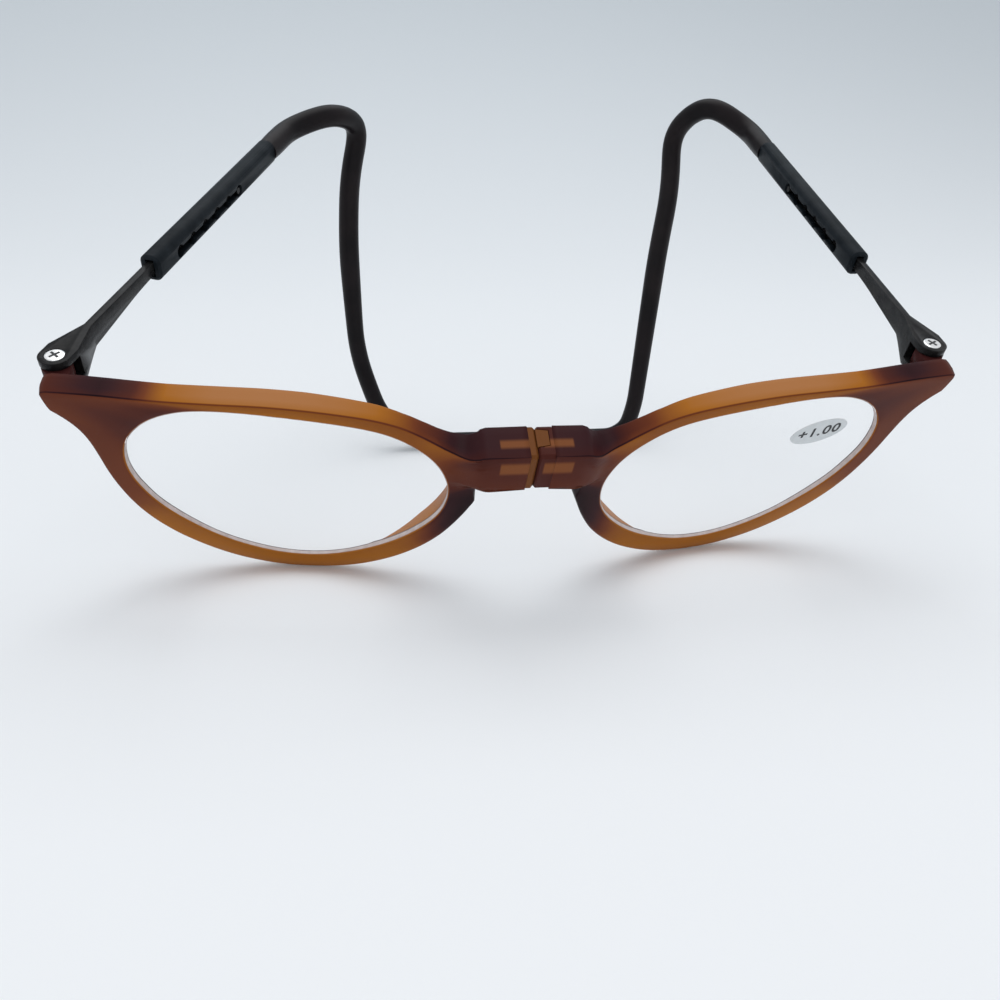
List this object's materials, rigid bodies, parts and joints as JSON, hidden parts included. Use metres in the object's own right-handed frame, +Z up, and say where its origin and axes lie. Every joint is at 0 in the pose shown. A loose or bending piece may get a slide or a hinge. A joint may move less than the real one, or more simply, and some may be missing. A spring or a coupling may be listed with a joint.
{
  "type": "magnetic bridge reading glasses",
  "caption": "Reading glasses that part at a magnetic bridge, with hinged front halves, sliding arms and a neck loop.",
  "frame": {"origin": "middle of the footprint on the table, on the plane between the two halves", "axes": "X runs across the face, -Y is the way the wearer looks, +Z is up from the table the glasses stand on"},
  "size_m": [0.1448, 0.1148, 0.084],
  "materials": {
    "frame": "translucent frosted brown",
    "cap": "translucent amber-brown",
    "lens": "clear, coated",
    "magnet": "nickel-plated",
    "gunmetal": "dark satin",
    "screw": "bright",
    "bushing": "turned",
    "sleeve": "fine satin black",
    "band": "smooth satin",
    "label": "printed film"
  },
  "bodies": {
    "left_neckband": {"left_headband": "band", "left_sleeve": "sleeve"},
    "left_temple": {"left_arm": "gunmetal", "left_hinge_screw": "screw", "left_detent_stud": "screw"},
    "left_front_half": {"left_front": "frame", "left_lens": "lens", "left_magnet": "magnet", "left_magnet_cap": "cap", "left_hinge_bushing": "bushing"},
    "right_neckband": {"right_headband": "band", "right_sleeve": "sleeve"},
    "right_temple": {"right_arm": "gunmetal", "right_hinge_screw": "screw", "right_detent_stud": "screw"},
    "right_front_half": {"right_front": "frame", "right_lens": "lens", "right_magnet": "magnet", "right_magnet_cap": "cap", "right_hinge_bushing": "bushing", "power_label": "label"}
  },
  "joints": [
    {"name": "band_flex", "type": "hinge", "parent": "left_neckband", "child": "right_neckband", "pos_m": [0.014, 0.03701, 0.00273], "axis": [0, -0.3665, 0.9304], "range_deg": [0, 40], "stiffness_Nm_per_rad": 0.2},
    {"name": "left_adjust", "type": "slide", "parent": "left_neckband", "child": "left_temple", "axis": [-0.3322, -0.8776, -0.3457], "range_m": [0, 0.025]},
    {"name": "right_adjust", "type": "slide", "parent": "right_neckband", "child": "right_temple", "axis": [0.0087, -0.9304, -0.3665], "range_m": [0, 0.025]},
    {"name": "left_fold", "type": "hinge", "parent": "left_temple", "child": "left_front_half", "pos_m": [-0.06996, -0.04146, 0.04116], "axis": [0, -0.3665, 0.9304], "range_deg": [-18.9, 61.1]},
    {"name": "right_fold", "type": "hinge", "parent": "right_temple", "child": "right_front_half", "pos_m": [0.06996, -0.04146, 0.04116], "axis": [0, 0.3665, -0.9304], "range_deg": [0, 80]}
  ],
  "couplings": [
    {"joint": "right_adjust", "follows": "left_adjust", "ratio": 1}
  ]
}
